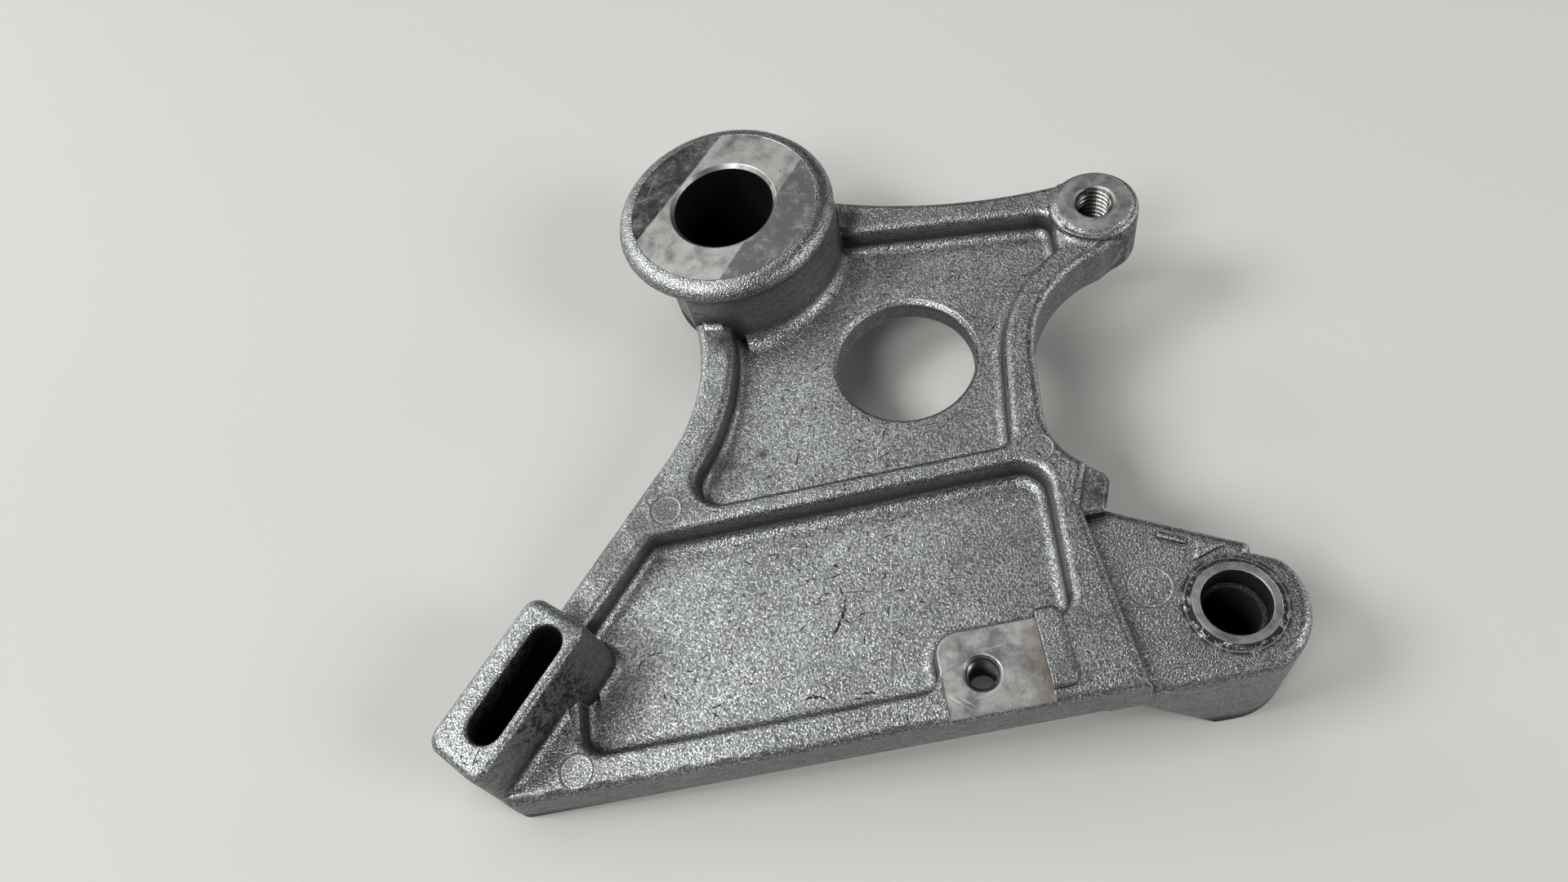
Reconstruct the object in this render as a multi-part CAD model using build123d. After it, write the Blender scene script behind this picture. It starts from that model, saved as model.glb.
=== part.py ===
from build123d import *
import math
import os

# Rear brake caliper bracket: one aluminium casting. A ribbed web joins an axle boss, a slotted
# torque-stop boss, a deep slide-pin boss with a blind bore and two threaded bosses.
# Origin: on the axle axis at the back end of the axle boss. +Z runs along the axle towards the
# machined face, +X along the straight front edge towards the slide-pin boss.
# All sizes are in millimetres.

os.makedirs("parts", exist_ok=True)

# Heights above the back end of the axle boss
PLATE_BACK_Z = 8.5
PARTING_Z = 13.0
WEB_TOP_Z = 13.5
LOBE_TOP_Z = 14.5
PLATE_TOP_Z = 19.5
PIN_BOSS_BACK_Z = -14.2

# Draft angles and edge rounds of the casting
DRAFT = 1.5
POCKET_DRAFT = 8.0
TOP_ROUND = 1.8
BACK_CHAMFER = 0.6
POCKET_TOP_ROUND = 1.6
POCKET_FLOOR_ROUND = 2.3
FOOT_ROUND = 2.2
RIB_FOOT_ROUND = 1.5

# Axle boss: a flanged cap on a neck, with a shoulder where the plate meets it
AXLE_BORE_R = 11.0
AXLE_BORE_CHAMFER = 0.9
AXLE_LENGTH = 30.9
AXLE_FACE_R = 20.4
CAP_R = 24.1
CAP_ROUND = 3.9
CAP_RIM_HEIGHT = 3.0
CAP_SLOPE_HEIGHT = 2.3
NECK_R = 17.3
NECK_END_CHAMFER = 1.0
SHOULDER_TOP_R = 23.4
SHOULDER_DRAFT = 6.5
SHOULDER_FOOT_ROUND = 4.0
CROTCH_R = 9.0

# Threaded M8 boss at the upper right corner
M8_X = 78.2
M8_Y = -13.9
M8_BOSS_R = 9.4
M8_BOSS_TOP_Z = 21.0
M8_BOSS_ROUND = 1.4
M8_FACE_R = 7.7
M8_FACE_RAISE = 0.6
M8_BORE_R = 4.0
M8_MOUTH_R = 4.4
FLARE_ANGLE = 29.5
FLARE_LENGTH = 7.0

# Slide-pin boss at the lower right corner, with a blind stepped bore
PIN_X = 79.1
PIN_Y = -104.8
PIN_BOSS_R = 13.1
PIN_RING_R = 7.7
PIN_RING_FOOT_R = 8.9
PIN_RING_RAISE = 1.0
PIN_BORE_R = 6.25
PIN_BORE_DEPTH = 6.0
PIN_PILOT_R = 5.3
PIN_PILOT_DEPTH = 21.0
LOBE_BACK_ANGLE = 152.4
LOBE_BACK_LENGTH = 32.0
LOBE_NOTCH_DEPTH = 1.7
LOBE_NOTCH_START = 0.8
LOBE_NOTCH_R = 1.2
LOBE_NOTCH_BLEND_R = 5.0
LOBE_RAMP_X = 58.9
LOBE_RAMP_ANGLE = 52.6
LOBE_ROUND = 2.2
PIN_BOSS_BACK_ROUND = 1.5

# Left edge: a hollow arc that runs off the axle boss, then a straight
LEFT_ARC_X = -53.0
LEFT_ARC_Y = -26.6
LEFT_ARC_RIB = 7.3
LEFT_ANGLE = 50.0
LEFT_RIB_WIDTH = 6.8

# Slotted boss on the straight left edge, cut off by the end wall
FRONT_CORNER_X = -55.5
FRONT_CORNER_R = 3.0
END_WALL_ANGLE = 135.0
SLOT_BOSS_TOP_Z = 31.0
SLOT_BOSS_LENGTH = 32.0
SLOT_BOSS_WIDTH = 13.4
SLOT_BOSS_DRAFT = 6.0
SLOT_BOSS_CORNER_R = 3.0
SLOT_BOSS_ROUND = 2.3
SLOT_BOSS_POCKET_ROUND = 1.0
SLOT_BOSS_PROUD = 0.45
SLOT_MOUTH_ROUND = 0.7
SLOT_WIDTH = 6.8
SLOT_LENGTH = 24.0
SLOT_ALONG = 16.6
SLOT_ACROSS = 8.0

# Right edge: step down to the slide-pin lobe, a nub and two hollow arcs
STEP_FOOT_X = 60.2
STEP_HEAD_X = 57.4
STEP_HEAD_Y = -81.5
RIGHT_LOW_ARC_X = 69.8
RIGHT_LOW_ARC_Y = -62.2
RIGHT_LOW_ARC_R = 14.2
RIGHT_LOW_START = 231.0
RIGHT_ARC_X = 83.5
RIGHT_ARC_Y = -50.8
RIGHT_ARC_R = 26.35
RIGHT_ARC_END = 114.0
RIGHT_RIB = 6.1

# Top edge: a wide hollow arc from the M8 boss to the axle boss
TOP_ARC_X = 70.0
TOP_ARC_Y = 111.3
TOP_RIB_ANGLE = -8.2
TOP_RIB_Y = -2.0

# Pockets
UPPER_POCKET_Y = -66.3
UPPER_POCKET_LEFT_TOP = 10.0
UPPER_POCKET_RIGHT_FOOT = 170.5
UPPER_POCKET_RIGHT_HEAD = 118.0
UPPER_POCKET_CORNER_ANGLE = 85.0
POCKET_ACUTE_R = 5.0
POCKET_HEAD_R = 4.0
POCKET_CORNER_R = 2.6
POCKET_WIDE_R = 5.2
CROSS_RIB = 3.9
FRONT_RIB = 6.4
LOWER_POCKET_LEFT_X = -40.7
LOWER_POCKET_HEAD_X = 52.5
LOWER_POCKET_FOOT_X = 50.2

# Threaded M6 pad on the front rib and the raised bar beside it
PAD_LEFT_X = 24.9
PAD_BACK_Y = -101.6
PAD_TOP_Z = 19.0
PAD_CORNER_R = 5.0
PAD_CROTCH_R = 3.0
PAD_OVERRUN = 3.0
M6_X = 32.2
M6_Y = -110.0
M6_BORE_R = 3.0
M6_MOUTH_R = 3.5
BAR_X = 43.5
BAR_WIDTH = 4.8
BAR_BACK_Y = -100.4
BAR_FRONT_GAP = 2.5
BAR_RAISE = 1.3
BAR_ROUND = 1.1
BAR_CORNER_R = 1.8

# Lightening hole in the web
WEB_HOLE_X = 31.9
WEB_HOLE_Y = -38.0
WEB_HOLE_R = 14.4
WEB_HOLE_DRAFT = 5.0
WEB_HOLE_BREAK = 0.8

# Stub at the foot of the right edge, beside the lobe
NUB_HEAD = (60.7, -72.8)
NUB_SHOULDER = (63.6, -75.5)
NUB_CORNER = (64.1, -77.3)
NUB_FOOT = (61.7, -83.2)
NUB_DEPTH = 5.0
NUB_TOP_Z = 17.6
NUB_BREAK = 0.7

# Marks of the die: sunk ejector-pin discs, a short groove and a small raised wedge on the lobe
EJECTOR_DEPTH = 0.25
EJECTOR_R = 3.0
EJECTORS = [(-21.5, -65.3), (52.4, -68.2), (-42.3, -114.0)]
LOBE_EJECTOR_R = 4.0
LOBE_EJECTOR = (65.7, -98.4)
GROOVE_FROM = (69.9, -88.5)
GROOVE_TO = (74.3, -91.4)
GROOVE_WIDTH = 1.2
GROOVE_DEPTH = 0.5
WEDGE = [(76.0, -91.3), (80.7, -93.4), (74.5, -95.1)]
WEDGE_HEIGHT = 0.9
WEDGE_BREAK = 0.5

# How far a cutter runs past the face that it opens
CLEAR = 1.0

# How closely two heights agree when a face is looked up by its height
LEVEL_MATCH = 0.01


def polar(angle, radius, centre=(0.0, 0.0)):
    """Point at an angle in degrees and a radius from a centre."""
    turn = math.radians(angle)
    return (centre[0] + radius * math.cos(turn), centre[1] + radius * math.sin(turn))


def meet(start, angle, other, other_angle):
    """Point where two straight lines, each given by a point and an angle, cross."""
    start = tuple(start)
    other = tuple(other)
    ux, uy = polar(angle, 1.0)
    vx, vy = polar(other_angle, 1.0)
    dx, dy = other[0] - start[0], other[1] - start[1]
    along = (dx * vy - dy * vx) / (ux * vy - uy * vx)
    return (start[0] + along * ux, start[1] + along * uy)


def hollow(centre, radius, first, last):
    """Arc about a centre from one angle to another."""
    middle = polar((first + last) / 2, radius, centre)
    return ThreePointArc(polar(first, radius, centre), middle, polar(last, radius, centre))


def round_corners(sketch, corners):
    """Sketch with the vertex nearest to each given place rounded to its own radius."""
    for place, radius in corners:
        sketch = fillet(sketch.vertices().sort_by_distance((*tuple(place)[:2], 0))[0], radius)
    return sketch


def rise(angle, height):
    """Sideways growth of a drafted wall over a height."""
    return height * math.tan(math.radians(angle))


PIN = (PIN_X, PIN_Y)
M8 = (M8_X, M8_Y)
FRONT_Y = PIN_Y - PIN_BOSS_R
LEFT_ARC = (LEFT_ARC_X, LEFT_ARC_Y)
LEFT_R = math.hypot(*LEFT_ARC) - NECK_R
LEFT_START = polar(LEFT_ANGLE - 90, LEFT_R, LEFT_ARC)
FRONT_CORNER = (FRONT_CORNER_X, FRONT_Y)
END_CORNER = meet(LEFT_START, LEFT_ANGLE, FRONT_CORNER, END_WALL_ANGLE)
RIGHT_ARC = (RIGHT_ARC_X, RIGHT_ARC_Y)
RIGHT_LOW_ARC = (RIGHT_LOW_ARC_X, RIGHT_LOW_ARC_Y)
FLARE_TOUCH = polar(FLARE_ANGLE - 90, M8_BOSS_R, M8)
FLARE_START = polar(FLARE_ANGLE + 180, FLARE_LENGTH, FLARE_TOUCH)
TOP_ARC = (TOP_ARC_X, TOP_ARC_Y)
TOP_R = math.dist(TOP_ARC, M8) - M8_BOSS_R
POCKET_LEAN = rise(POCKET_DRAFT, PLATE_TOP_Z - WEB_TOP_Z)
PIN_FACE_Z = LOBE_TOP_Z + PIN_RING_RAISE
M8_FACE_Z = M8_BOSS_TOP_Z + M8_FACE_RAISE
CAP_BACK_Z = AXLE_LENGTH - CAP_RIM_HEIGHT
CAP_UNDER_Z = CAP_BACK_Z - CAP_SLOPE_HEIGHT


def common_angle():
    """Angle at which one straight touches both hollow arcs of the right edge."""
    gap = math.dist(RIGHT_ARC, RIGHT_LOW_ARC)
    heading = math.atan2(RIGHT_ARC_Y - RIGHT_LOW_ARC_Y, RIGHT_ARC_X - RIGHT_LOW_ARC_X)
    return math.degrees(heading + math.acos((RIGHT_LOW_ARC_R - RIGHT_ARC_R) / gap))


def plate_outline():
    """Outline of the ribbed plate at the parting line."""
    neck_angle = math.degrees(math.atan2(LEFT_ARC_Y, LEFT_ARC_X))
    m8_angle = math.degrees(math.atan2(M8_Y - TOP_ARC_Y, M8_X - TOP_ARC_X))
    axle_angle = math.degrees(math.atan2(-TOP_ARC_Y, -TOP_ARC_X))
    touch = common_angle()
    left = hollow(LEFT_ARC, LEFT_R, neck_angle + 180, LEFT_ANGLE - 90)
    low = hollow(RIGHT_LOW_ARC, RIGHT_LOW_ARC_R, RIGHT_LOW_START, touch)
    high = hollow(RIGHT_ARC, RIGHT_ARC_R, touch, RIGHT_ARC_END)
    top = hollow(TOP_ARC, TOP_R, m8_angle, axle_angle)
    foot = Polyline(left @ 1, END_CORNER, FRONT_CORNER, (STEP_FOOT_X, FRONT_Y),
                    (STEP_HEAD_X, STEP_HEAD_Y), low @ 0)
    side = Line(low @ 1, high @ 0)
    flare = Polyline(high @ 1, FLARE_START, FLARE_TOUCH, M8, top @ 0)
    head = Polyline(top @ 1, (0, 0), left @ 0)
    outline = make_face(Curve() + [left, foot, low, side, high, flare, top, head])
    outline = outline + Circle(NECK_R) + Pos(M8_X, M8_Y) * Circle(M8_BOSS_R)
    crotch = polar(axle_angle + 180, NECK_R)
    return round_corners(outline, [(END_CORNER, SLOT_BOSS_CORNER_R), (FRONT_CORNER, FRONT_CORNER_R),
                                   (crotch, CROTCH_R)])


def upper_pocket():
    """Foot outline of the pocket between the axle boss and the cross rib."""
    left_r = LEFT_R + LEFT_ARC_RIB + POCKET_LEAN
    right_r = RIGHT_ARC_R + RIGHT_RIB + POCKET_LEAN
    front_y = UPPER_POCKET_Y + POCKET_LEAN
    rib_point = (0, TOP_RIB_Y - POCKET_LEAN)
    foot_angle = math.degrees(math.asin((front_y - LEFT_ARC_Y) / left_r))
    left = hollow(LEFT_ARC, left_r, UPPER_POCKET_LEFT_TOP, foot_angle)
    right = hollow(RIGHT_ARC, right_r, UPPER_POCKET_RIGHT_FOOT, UPPER_POCKET_RIGHT_HEAD)
    foot = meet(left @ 1, 0, right @ 0, UPPER_POCKET_RIGHT_FOOT + 90)
    head = meet(rib_point, TOP_RIB_ANGLE, right @ 1, UPPER_POCKET_CORNER_ANGLE)
    rim = Polyline(left @ 1, foot, right @ 0)
    crown = Polyline(right @ 1, head, rib_point, left @ 0)
    pocket = make_face(Curve() + [left, rim, right, crown])
    return round_corners(pocket, [(left @ 1, POCKET_ACUTE_R), (foot, POCKET_CORNER_R),
                                  (head, POCKET_CORNER_R), (left @ 0, POCKET_HEAD_R),
                                  (rib_point, POCKET_HEAD_R)])


def lower_pocket():
    """Foot outline of the pocket between the cross rib, the slotted boss and the front rib."""
    top_y = UPPER_POCKET_Y - CROSS_RIB - POCKET_LEAN
    front_y = FRONT_Y + FRONT_RIB + POCKET_LEAN
    rib_point = polar(LEFT_ANGLE - 90, LEFT_RIB_WIDTH + POCKET_LEAN, LEFT_START)
    left_head = meet(rib_point, LEFT_ANGLE, (0, top_y), 0)
    knee = meet(rib_point, LEFT_ANGLE, (LOWER_POCKET_LEFT_X, 0), 90)
    left_foot = (LOWER_POCKET_LEFT_X, front_y)
    pad_foot = (PAD_LEFT_X - POCKET_LEAN, front_y)
    pad_head = (PAD_LEFT_X - POCKET_LEAN, PAD_BACK_Y + POCKET_LEAN)
    right_foot = (LOWER_POCKET_FOOT_X, PAD_BACK_Y + POCKET_LEAN)
    right_head = (LOWER_POCKET_HEAD_X, top_y)
    pocket = make_face(Polyline(left_head, knee, left_foot, pad_foot, pad_head, right_foot,
                                right_head, close=True))
    return round_corners(pocket, [(left_head, POCKET_CORNER_R), (knee, PAD_CROTCH_R),
                                  (left_foot, POCKET_HEAD_R), (pad_foot, PAD_CROTCH_R),
                                  (pad_head, PAD_CORNER_R),
                                  (right_foot, POCKET_CORNER_R), (right_head, POCKET_WIDE_R)])


def pocket_tool(outline):
    """Cutter for a pocket, from its foot outline: rounded foot and walls that lean outwards."""
    depth = PLATE_TOP_Z - WEB_TOP_Z + CLEAR
    tool = extrude(Pos(0, 0, WEB_TOP_Z) * outline, depth, taper=-POCKET_DRAFT)
    return fillet(tool.faces().sort_by(Axis.Z)[0].edges(), POCKET_FLOOR_ROUND)


def standing(radius, base_z, top_z, centre=(0.0, 0.0)):
    """Cylinder between two heights."""
    stand = (Align.CENTER, Align.CENTER, Align.MIN)
    return Pos(*centre, base_z) * Cylinder(radius, top_z - base_z, align=stand)


def frustum(base_r, top_r, base_z, top_z, centre=(0.0, 0.0)):
    """Cone frustum between two heights."""
    stand = (Align.CENTER, Align.CENTER, Align.MIN)
    return Pos(*centre, base_z) * Cone(base_r, top_r, top_z - base_z, align=stand)


def web_hole():
    """Cutter for the lightening hole, wider towards the ribbed side."""
    height = PLATE_TOP_Z - PLATE_BACK_Z
    low = rise(WEB_HOLE_DRAFT, CLEAR)
    high = rise(WEB_HOLE_DRAFT, height)
    return frustum(WEB_HOLE_R - low, WEB_HOLE_R + high, PLATE_BACK_Z - CLEAR, PLATE_TOP_Z,
                   (WEB_HOLE_X, WEB_HOLE_Y))


def drafted_plate():
    """Plate drafted both ways from the parting line, with its pockets and all rims rounded."""
    outline = Pos(0, 0, PARTING_Z) * plate_outline()
    body = extrude(outline, PLATE_TOP_Z - PARTING_Z, taper=DRAFT)
    body = body + extrude(outline, PLATE_BACK_Z - PARTING_Z, taper=DRAFT)
    body = body - pocket_tool(upper_pocket()) - pocket_tool(lower_pocket())
    for pocket in range(2):
        rims = body.faces().sort_by(Axis.Z)[-1].inner_wires().sort_by(Axis.Y)
        body = fillet(rims[pocket].edges(), POCKET_TOP_ROUND)
    body = fillet(body.faces().sort_by(Axis.Z)[-1].outer_wire().edges(), TOP_ROUND)
    body = chamfer(body.faces().sort_by(Axis.Z)[0].outer_wire().edges(), BACK_CHAMFER)
    body = body - web_hole()
    hole_edges = body.edges().filter_by(GeomType.CIRCLE)
    rim = hole_edges.sort_by_distance((WEB_HOLE_X + WEB_HOLE_R, WEB_HOLE_Y, WEB_TOP_Z))[0]
    return chamfer(rim, WEB_HOLE_BREAK)


def axle_boss():
    """Axle boss turned about the axle: the neck, the underside of the cap and its rounded rim."""
    rim_end = math.degrees(math.acos((CAP_R - AXLE_FACE_R) / CAP_ROUND))
    rim = hollow((AXLE_FACE_R, AXLE_LENGTH - CAP_ROUND), CAP_ROUND, rim_end, 90)
    side = Polyline((0, 0), (NECK_R - NECK_END_CHAMFER, 0), (NECK_R, NECK_END_CHAMFER),
                    (NECK_R, CAP_UNDER_Z), (CAP_R, CAP_BACK_Z), rim @ 0)
    face = Polyline(rim @ 1, (0, AXLE_LENGTH), (0, 0))
    profile = make_face(Curve() + [side, rim, face])
    return revolve(Plane.XZ * profile, Axis.Z)


def shoulder_cone():
    """Drafted cone that carries the cap on the plate side."""
    foot_r = SHOULDER_TOP_R + rise(SHOULDER_DRAFT, CAP_BACK_Z - PLATE_BACK_Z)
    return frustum(foot_r, SHOULDER_TOP_R, PLATE_BACK_Z, CAP_BACK_Z)


def shoulder():
    """Wall under the cap on the plate side: the cone, ended at the plate's outline."""
    reach = extrude(Pos(0, 0, PLATE_BACK_Z) * plate_outline(), CAP_BACK_Z - PLATE_BACK_Z)
    return shoulder_cone() & reach


def slot_frame(z):
    """Work plane at a height, with its origin at the end corner and X along the left edge."""
    return Plane(origin=(*END_CORNER, z), x_dir=(*polar(LEFT_ANGLE, 1.0), 0), z_dir=(0, 0, 1))


def slot_section(z, beyond):
    """Section of the slotted boss at a height: only the wall towards the pocket is drafted."""
    across = SLOT_BOSS_WIDTH + rise(SLOT_BOSS_DRAFT, SLOT_BOSS_TOP_Z - z) + beyond
    lean = rise(END_WALL_ANGLE - LEFT_ANGLE - 90, 1.0)
    corners = [(0, SLOT_BOSS_PROUD), (SLOT_BOSS_LENGTH, SLOT_BOSS_PROUD), (SLOT_BOSS_LENGTH, -across),
               (lean * across, -across)]
    section = make_face(Polyline(*corners, close=True))
    return round_corners(section, [(place, SLOT_BOSS_CORNER_R) for place in corners])


def slot_block(radius, beyond=0.0):
    """Block with its top edge rounded. Beyond is how far its wall towards the pocket moves out."""
    sections = [slot_frame(z) * slot_section(z, beyond) for z in (PLATE_BACK_Z, SLOT_BOSS_TOP_Z)]
    block = loft(sections, ruled=True)
    return fillet(block.faces().sort_by(Axis.Z)[-1].edges(), radius)


def slot_boss():
    """Boss of the torque-stop slot: well rounded on the outer sides, less so towards the pocket."""
    return slot_block(SLOT_BOSS_ROUND, SLOT_BOSS_WIDTH) & slot_block(SLOT_BOSS_POCKET_ROUND)


def slot_tool():
    """Cutter for the slot, right through the boss."""
    slot = Pos(SLOT_ALONG, -SLOT_ACROSS) * SlotOverall(SLOT_LENGTH, SLOT_WIDTH)
    return extrude(slot_frame(PLATE_BACK_Z - CLEAR) * slot, SLOT_BOSS_TOP_Z - PLATE_BACK_Z + 2 * CLEAR)


def m8_boss():
    """Round boss of the M8 thread with its raised machined face."""
    boss = standing(M8_BOSS_R, PLATE_BACK_Z, M8_BOSS_TOP_Z, M8)
    boss = fillet(boss.edges().sort_by(Axis.Z)[-1], M8_BOSS_ROUND)
    return boss + frustum(M8_FACE_R + M8_FACE_RAISE, M8_FACE_R, M8_BOSS_TOP_Z, M8_FACE_Z, M8)


def lobe_outline():
    """Outline of the slide-pin lobe: round about the pin, flat at the back with a shallow notch."""
    normal = LOBE_BACK_ANGLE - 90
    cut_r = PIN_BOSS_R - LOBE_NOTCH_DEPTH
    touch = polar(normal, PIN_BOSS_R, PIN)
    end_angle = normal - math.degrees(math.acos(cut_r / PIN_BOSS_R))
    notch_high = polar(LOBE_BACK_ANGLE, -LOBE_NOTCH_START, touch)
    notch_low = polar(LOBE_BACK_ANGLE, -LOBE_NOTCH_START, polar(normal, cut_r, PIN))
    back_head = polar(LOBE_BACK_ANGLE, LOBE_BACK_LENGTH, touch)
    inner_x = STEP_HEAD_X - 2 * LOBE_ROUND
    arc = hollow(PIN, PIN_BOSS_R, -90, end_angle)
    rest = Polyline(arc @ 1, notch_low, notch_high, back_head, (inner_x, back_head[1]),
                    (inner_x, FRONT_Y), arc @ 0)
    outline = make_face(Curve() + [arc, rest])
    return round_corners(outline, [(arc @ 1, LOBE_NOTCH_BLEND_R), (notch_high, LOBE_NOTCH_R)])


def lobe():
    """Slide-pin lobe: thin beside the plate, with a ramp down to the deep boss."""
    drop = PLATE_BACK_Z - PIN_BOSS_BACK_Z
    deep = extrude(Pos(0, 0, PIN_BOSS_BACK_Z) * lobe_outline(), LOBE_TOP_Z - PIN_BOSS_BACK_Z)
    ramp_foot = (LOBE_RAMP_X + rise(90 - LOBE_RAMP_ANGLE, drop), PIN_BOSS_BACK_Z)
    inner_x = LOBE_RAMP_X - drop
    under = make_face(Polyline((inner_x, PLATE_BACK_Z), (LOBE_RAMP_X, PLATE_BACK_Z), ramp_foot,
                               (inner_x, PIN_BOSS_BACK_Z), close=True))
    body = deep - extrude(Plane.XZ * under, -2 * FRONT_Y)
    body = fillet(body.faces().sort_by(Axis.Z)[-1].edges(), LOBE_ROUND)
    return fillet(body.faces().sort_by(Axis.Z)[0].edges(), PIN_BOSS_BACK_ROUND)


def bar():
    """Raised bar beside the threaded pad, cut sharp where the pad was machined."""
    corner = (Align.MIN, Align.MIN, Align.MIN)
    depth = BAR_BACK_Y - FRONT_Y - BAR_FRONT_GAP
    height = PLATE_TOP_Z + BAR_RAISE - WEB_TOP_Z
    front_y = FRONT_Y + BAR_FRONT_GAP
    block = Pos(BAR_X - BAR_WIDTH, front_y, WEB_TOP_Z) * Box(2 * BAR_WIDTH, depth, height, align=corner)
    block = fillet(block.edges().filter_by(Axis.Z), BAR_CORNER_R)
    block = fillet(block.faces().sort_by(Axis.Z)[-1].edges(), BAR_ROUND)
    return block.split(Plane(origin=(BAR_X, 0, 0), z_dir=(1, 0, 0)))


def nub():
    """Small stub at the foot of the right edge, beside the lobe."""
    plan = make_face(Polyline(NUB_HEAD, NUB_SHOULDER, NUB_CORNER, NUB_FOOT,
                              (NUB_FOOT[0] - NUB_DEPTH, NUB_FOOT[1]), (NUB_HEAD[0] - NUB_DEPTH, NUB_HEAD[1]),
                              close=True))
    stub = extrude(Pos(0, 0, PLATE_BACK_Z) * plan, NUB_TOP_Z - PLATE_BACK_Z)
    return chamfer(stub.faces().sort_by(Axis.Z)[-1].edges(), NUB_BREAK)


def pad_cut():
    """Cutter that leaves the machined face of the M6 pad."""
    corner = (Align.MIN, Align.MIN, Align.MIN)
    depth = PAD_BACK_Y + PAD_OVERRUN - FRONT_Y + CLEAR
    height = PLATE_TOP_Z - PAD_TOP_Z + BAR_RAISE + CLEAR
    return Pos(PAD_LEFT_X, FRONT_Y - CLEAR, PAD_TOP_Z) * Box(BAR_X - PAD_LEFT_X, depth, height, align=corner)


def threaded_hole(centre, face_z, bore_r, mouth_r):
    """Cutter for a through hole at the thread's nominal size, with a countersunk mouth."""
    sink = mouth_r - bore_r
    hole = standing(bore_r, PLATE_BACK_Z - CLEAR, face_z + CLEAR, centre)
    return hole + frustum(bore_r, mouth_r + CLEAR, face_z - sink, face_z + CLEAR, centre)


def pin_bore():
    """Cutter for the stepped blind bore of the slide pin."""
    top = PIN_FACE_Z + CLEAR
    seat = standing(PIN_BORE_R, PIN_FACE_Z - PIN_BORE_DEPTH, top, PIN)
    return seat + standing(PIN_PILOT_R, PIN_FACE_Z - PIN_PILOT_DEPTH, top, PIN)


def axle_bore():
    """Cutter for the axle bore, chamfered at the machined face."""
    hole = standing(AXLE_BORE_R, -CLEAR, AXLE_LENGTH + CLEAR)
    return hole + frustum(AXLE_BORE_R, AXLE_BORE_R + AXLE_BORE_CHAMFER + CLEAR,
                          AXLE_LENGTH - AXLE_BORE_CHAMFER, AXLE_LENGTH + CLEAR)


def die_marks():
    """Cutters for the ejector-pin discs and the short groove beside the slide pin."""
    tools = [standing(EJECTOR_R, PLATE_TOP_Z - EJECTOR_DEPTH, PLATE_TOP_Z + CLEAR, place)
             for place in EJECTORS]
    tools.append(standing(LOBE_EJECTOR_R, LOBE_TOP_Z - EJECTOR_DEPTH, LOBE_TOP_Z + CLEAR, LOBE_EJECTOR))
    reach = math.dist(GROOVE_FROM, GROOVE_TO)
    middle = ((GROOVE_FROM[0] + GROOVE_TO[0]) / 2, (GROOVE_FROM[1] + GROOVE_TO[1]) / 2)
    turn = math.degrees(math.atan2(GROOVE_TO[1] - GROOVE_FROM[1], GROOVE_TO[0] - GROOVE_FROM[0]))
    groove = Pos(*middle, LOBE_TOP_Z - GROOVE_DEPTH) * Rot(0, 0, turn) * SlotOverall(reach, GROOVE_WIDTH)
    tools.append(extrude(groove, GROOVE_DEPTH + CLEAR))
    return tools


def wedge():
    """Small raised wedge between the lobe's back edge and the pin boss."""
    plan = make_face(Polyline(*WEDGE, close=True))
    lump = extrude(Pos(0, 0, LOBE_TOP_Z - CLEAR) * plan, WEDGE_HEIGHT + CLEAR)
    return chamfer(lump.faces().sort_by(Axis.Z)[-1].edges(), WEDGE_BREAK)


def foot_blend(boss, flat, radius):
    """Concave blend between a standing boss and one flat face of the plate."""
    level = flat.center().Z
    reach = 4 * (CAP_R - FRONT_Y)
    stand = (Align.CENTER, Align.CENTER, Align.MAX)
    ground = boss + Pos(0, 0, level) * Box(reach, reach, CLEAR, align=stand)
    open_ground = ground.faces().filter_by(Axis.Z).sort_by(SortBy.AREA)[-2:].sort_by(Axis.Z)[-1]
    blended = fillet(open_ground.inner_wires()[0].edges(), radius)
    return blended & extrude(flat, radius)


def foot_blends(plate):
    """Blends round the feet of the shoulder, the slotted boss and the M8 boss."""
    rib_top = plate.faces().sort_by(Axis.Z)[-1]
    level_faces = plate.faces().filter_by(Axis.Z)
    floors = [face for face in level_faces if abs(face.center().Z - WEB_TOP_Z) < LEVEL_MATCH]
    lower_floor, upper_floor = sorted(floors, key=lambda face: face.center().Y)
    m8_post = standing(M8_BOSS_R, PLATE_BACK_Z, PLATE_TOP_Z + 2 * FOOT_ROUND, M8)
    return [foot_blend(shoulder_cone(), rib_top, RIB_FOOT_ROUND),
            foot_blend(shoulder_cone(), upper_floor, SHOULDER_FOOT_ROUND),
            foot_blend(slot_boss(), rib_top, FOOT_ROUND),
            foot_blend(slot_boss(), lower_floor, FOOT_ROUND),
            foot_blend(m8_post, rib_top, RIB_FOOT_ROUND)]


def bracket():
    """The whole casting with its machined faces and holes."""
    plate = drafted_plate()
    body = plate + axle_boss() + shoulder() + slot_boss() + m8_boss()
    for blend in foot_blends(plate):
        body = body + blend
    body = body + lobe() + nub() + bar()
    body = body + frustum(PIN_RING_FOOT_R, PIN_RING_R, LOBE_TOP_Z, PIN_FACE_Z, PIN) + wedge()
    body = body - pad_cut() - slot_tool() - axle_bore() - pin_bore()
    body = body - threaded_hole(M8, M8_FACE_Z, M8_BORE_R, M8_MOUTH_R)
    body = body - threaded_hole((M6_X, M6_Y), PAD_TOP_Z, M6_BORE_R, M6_MOUTH_R)
    for tool in die_marks():
        body = body - tool
    slot_face = body.faces().sort_by(Axis.Z)[-1]
    return fillet(slot_face.inner_wires()[0].edges(), SLOT_MOUTH_ROUND)


casting = bracket().solid()
print("bracket_casting", len(casting.faces()), "faces, valid", casting.is_valid)
print(round(casting.volume), "mm3")
export_step(casting, "parts/bracket_casting.step")
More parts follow.
